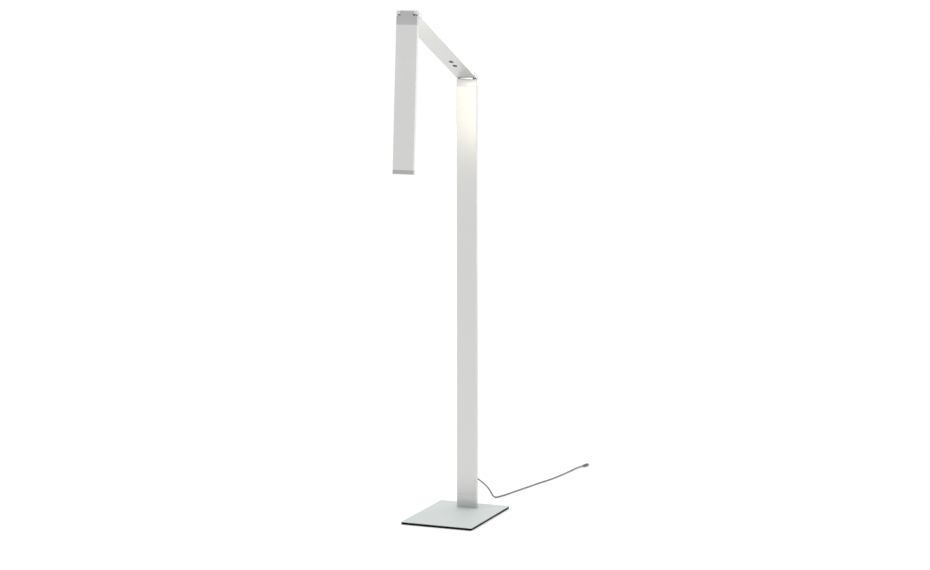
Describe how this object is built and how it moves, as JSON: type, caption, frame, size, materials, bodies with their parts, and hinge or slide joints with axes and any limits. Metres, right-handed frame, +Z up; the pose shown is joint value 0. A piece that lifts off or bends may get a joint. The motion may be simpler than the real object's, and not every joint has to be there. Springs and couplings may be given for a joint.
{
  "type": "adjustable arm floor lamp",
  "caption": "Slim floor lamp: flat column on a rectangular base plate, flat hinged arm with push buttons, and a hinged bar-shaped light head with an opal diffuser.",
  "frame": {"origin": "centre of the base plate's underside, on the floor", "axes": "+Z up, -Y to the front, where the arm reaches out, +X along the hinge pins"},
  "size_m": [0.2555, 1.2718, 1.5608],
  "materials": {
    "black_steel": "black powder coat, satin",
    "board_green": "circuit board",
    "board_white": "white metal-core board",
    "bush_plastic": "acetal bearing plastic",
    "button_plastic": "dark grey moulded button",
    "cap_aluminium": "grey anodised machined cap, fine brushed",
    "carrier_plastic": "moulded carrier",
    "cord_grey": "grey flexible cord sheath",
    "diffuser_opal": "opal acrylic, lit warm white",
    "led_white": "light emitting chip",
    "moulded_grey": "grey moulded strain relief",
    "plate_silver": "pale silver anodised sheet, fine satin",
    "profile_aluminium": "pale silver anodised extrusion, satin",
    "rubber": "matt non-slip rubber",
    "steel": "bright zinc plated steel",
    "switch_black": "switch housing",
    "washer_plastic": "friction washer",
    "wire_sheath": "thin insulated lead"
  },
  "bodies": {
    "stand": {"non_slip_mat": "rubber", "ballast_plate": "black_steel", "base_cover": "plate_silver", "foot_bolts": "steel", "column_foot": "cap_aluminium", "column_profile": "profile_aluminium", "column_screws": "steel", "column_hinge_cap": "cap_aluminium", "column_wire": "wire_sheath", "elbow_pin": "steel", "elbow_washers": "washer_plastic", "elbow_end_screws": "steel", "cord_relief": "moulded_grey", "relief_nut": "steel", "cord": "cord_grey", "connector_body": "moulded_grey", "connector_barrel": "steel"},
    "arm": {"elbow_bushes": "bush_plastic", "arm_lower_cap": "cap_aluminium", "arm_profile": "profile_aluminium", "arm_upper_cap": "cap_aluminium", "arm_screws": "steel", "arm_wire": "wire_sheath", "tact_switches": "switch_black", "control_board": "board_green", "board_carrier": "carrier_plastic", "head_bushes": "bush_plastic"},
    "power_button": {"power_button": "button_plastic"},
    "dimmer_button": {"dimmer_button": "button_plastic"},
    "head": {"head_pin": "steel", "head_washers": "washer_plastic", "head_end_screws": "steel", "head_hinge_cap": "cap_aluminium", "head_profile": "profile_aluminium", "head_end_cap": "cap_aluminium", "head_screws": "steel", "diffuser": "diffuser_opal", "led_board": "board_white", "led_chips": "led_white", "head_wire": "wire_sheath"}
  },
  "joints": [
    {"name": "elbow_hinge", "type": "hinge", "parent": "stand", "child": "arm", "pos_m": [0, 0.096, 1.348], "axis": [-1, 0, 0], "range_deg": [-24, 66]},
    {"name": "head_hinge", "type": "hinge", "parent": "arm", "child": "head", "pos_m": [0, -0.36625, 1.55381], "axis": [-1, 0, 0], "range_deg": [-10, 105]},
    {"name": "power_press", "type": "slide", "parent": "arm", "child": "power_button", "axis": [0, 0.4067, 0.9135], "range_m": [0, 0.0012], "stiffness_N_per_m": 500, "springref_m": -0.001},
    {"name": "dimmer_press", "type": "slide", "parent": "arm", "child": "dimmer_button", "axis": [0, 0.4067, 0.9135], "range_m": [0, 0.0012], "stiffness_N_per_m": 500, "springref_m": -0.001}
  ]
}
